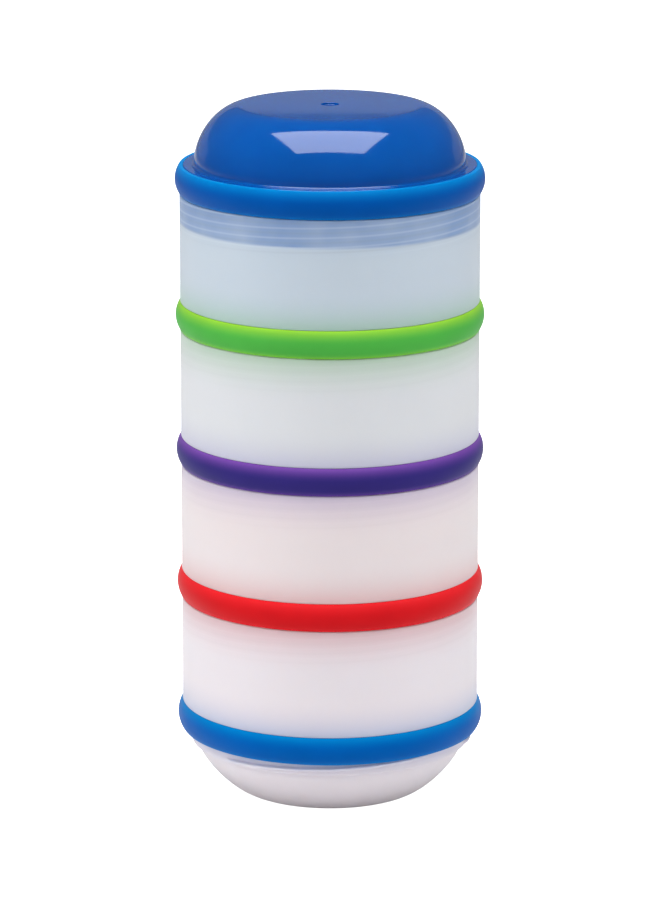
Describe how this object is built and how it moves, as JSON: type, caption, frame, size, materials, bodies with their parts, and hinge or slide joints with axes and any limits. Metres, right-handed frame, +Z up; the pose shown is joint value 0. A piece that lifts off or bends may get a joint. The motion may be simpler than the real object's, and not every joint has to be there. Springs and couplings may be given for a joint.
{
  "type": "formula dispenser",
  "caption": "Stack of screw-together milky cups with rounded feet and soft coloured rings, closed by a domed blue lid, for carrying portions of baby formula.",
  "frame": {"origin": "middle of the bottom cup's flat foot, on the surface that the stack stands on", "axes": "+Z up along the axis that every piece turns about; -Y is the front"},
  "size_m": [0.08, 0.08, 0.1819],
  "materials": {
    "cup": "milky translucent polypropylene, satin",
    "lid": "deep blue translucent plastic, polished",
    "bottom_cup_ring": "soft blue elastomer, satin",
    "third_cup_ring": "soft red elastomer, satin",
    "second_cup_ring": "soft purple elastomer, satin",
    "top_cup_ring": "soft green elastomer, satin",
    "lid_ring": "soft blue elastomer, satin"
  },
  "bodies": {
    "bottom_cup": {"bottom_cup": "cup", "bottom_cup_ring": "bottom_cup_ring"},
    "third_cup_ring": {"third_cup_ring": "third_cup_ring"},
    "third_cup": {"third_cup": "cup"},
    "second_cup_ring": {"second_cup_ring": "second_cup_ring"},
    "second_cup": {"second_cup": "cup"},
    "top_cup_ring": {"top_cup_ring": "top_cup_ring"},
    "top_cup": {"top_cup": "cup"},
    "lid_ring": {"lid_ring": "lid_ring"},
    "lid": {"lid": "lid"}
  },
  "joints": [
    {"name": "third_cup_lift", "type": "slide", "parent": "bottom_cup", "child": "third_cup_ring", "axis": [0, 0, 1], "range_m": [0, 0.0225]},
    {"name": "third_cup_turn", "type": "hinge", "parent": "third_cup_ring", "child": "third_cup", "pos_m": [0, 0, 0.05225], "axis": [0, 0, 1], "range_deg": [0, 1080]},
    {"name": "second_cup_lift", "type": "slide", "parent": "third_cup", "child": "second_cup_ring", "axis": [0, 0, 1], "range_m": [0, 0.0225]},
    {"name": "second_cup_turn", "type": "hinge", "parent": "second_cup_ring", "child": "second_cup", "pos_m": [0, 0, 0.0879], "axis": [0, 0, 1], "range_deg": [0, 1080]},
    {"name": "top_cup_lift", "type": "slide", "parent": "second_cup", "child": "top_cup_ring", "axis": [0, 0, 1], "range_m": [0, 0.0225]},
    {"name": "top_cup_turn", "type": "hinge", "parent": "top_cup_ring", "child": "top_cup", "pos_m": [0, 0, 0.12355], "axis": [0, 0, 1], "range_deg": [0, 1080]},
    {"name": "lid_lift", "type": "slide", "parent": "top_cup", "child": "lid_ring", "axis": [0, 0, 1], "range_m": [0, 0.0225]},
    {"name": "lid_turn", "type": "hinge", "parent": "lid_ring", "child": "lid", "pos_m": [0, 0, 0.1592], "axis": [0, 0, 1], "range_deg": [0, 1080]}
  ],
  "couplings": [
    {"joint": "third_cup_turn", "follows": "third_cup_lift", "rad_per_m": 837.76},
    {"joint": "second_cup_turn", "follows": "second_cup_lift", "rad_per_m": 837.76},
    {"joint": "top_cup_turn", "follows": "top_cup_lift", "rad_per_m": 837.76},
    {"joint": "lid_turn", "follows": "lid_lift", "rad_per_m": 837.76}
  ]
}
